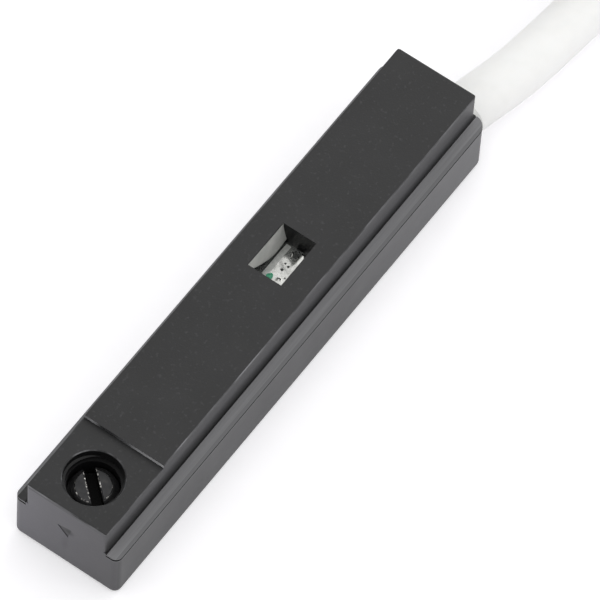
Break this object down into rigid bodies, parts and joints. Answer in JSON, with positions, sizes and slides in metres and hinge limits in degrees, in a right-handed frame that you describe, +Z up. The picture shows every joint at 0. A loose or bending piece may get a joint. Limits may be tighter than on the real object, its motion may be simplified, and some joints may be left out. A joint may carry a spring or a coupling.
{
  "type": "reed cylinder sensor switch",
  "caption": "Slim black moulded reed sensor for a cylinder's T groove, with a slotted set screw, an indicator window and a white lead laid in a tied hank.",
  "frame": {"origin": "middle of the moulded body's underside", "axes": "+X along the body towards the lead, +Y to the left seen from the screw end, +Z up through the land with the window"},
  "size_m": [0.1257, 0.0232, 0.0104],
  "materials": {
    "moulded_black": "satin, fine grained",
    "black_steel": "black oxide, half gloss",
    "clear_resin": "clear, glossy",
    "potting_black": "cast, half gloss",
    "board_white": "white board lacquer",
    "lamp_white": "white base",
    "lamp_lens": "milky clear",
    "tinned": "bright tin",
    "chip_black": "black moulding",
    "reed_glass": "greenish glass",
    "reed_metal": "nickel iron",
    "solder": "solder",
    "sheath_white": "soft white vinyl",
    "core_brown": "brown vinyl",
    "core_blue": "blue vinyl",
    "copper": "copper strands",
    "tie_black": "soft black strap"
  },
  "bodies": {
    "sensor_body": {"housing": "moulded_black", "clear_fill": "clear_resin", "potting": "potting_black", "circuit_board": "board_white", "lamp_base": "lamp_white", "lamp_lens": "lamp_lens", "lamp_ends": "tinned", "resistor_body": "chip_black", "resistor_ends": "tinned", "diode_body": "chip_black", "diode_tabs": "tinned", "reed_glass": "reed_glass", "reed_wire_front": "reed_metal", "reed_wire_rear": "reed_metal", "solder": "solder", "sheath_end": "sheath_white", "core_brown": "core_brown", "core_blue": "core_blue", "bare_strands": "copper", "cable_lead": "sheath_white", "cable_hank": "sheath_white", "hank_ties": "tie_black", "tail_brown": "core_brown", "tail_blue": "core_blue", "tinned_tips": "tinned"},
    "screw": {"set_screw": "black_steel"},
    "front_blade": {"reed_blade_front": "reed_metal"},
    "rear_blade": {"reed_blade_rear": "reed_metal"}
  },
  "joints": [
    {"name": "set_screw_turn", "type": "hinge", "parent": "sensor_body", "child": "screw", "pos_m": [-0.01542, 0, 0.0025], "axis": [0, 0, -1], "range_deg": [-420, 960]},
    {"name": "front_blade_close", "type": "hinge", "parent": "sensor_body", "child": "front_blade", "pos_m": [-0.0089, 0, 0.002], "axis": [0, 1, 0], "range_deg": [0, 0.7], "stiffness_Nm_per_rad": 0.0002},
    {"name": "rear_blade_close", "type": "hinge", "parent": "sensor_body", "child": "rear_blade", "pos_m": [-0.0025, 0, 0.0017], "axis": [0, 1, 0], "range_deg": [0, 0.7], "stiffness_Nm_per_rad": 0.0002}
  ],
  "couplings": [
    {"joint": "rear_blade_close", "follows": "front_blade_close", "ratio": 1}
  ]
}
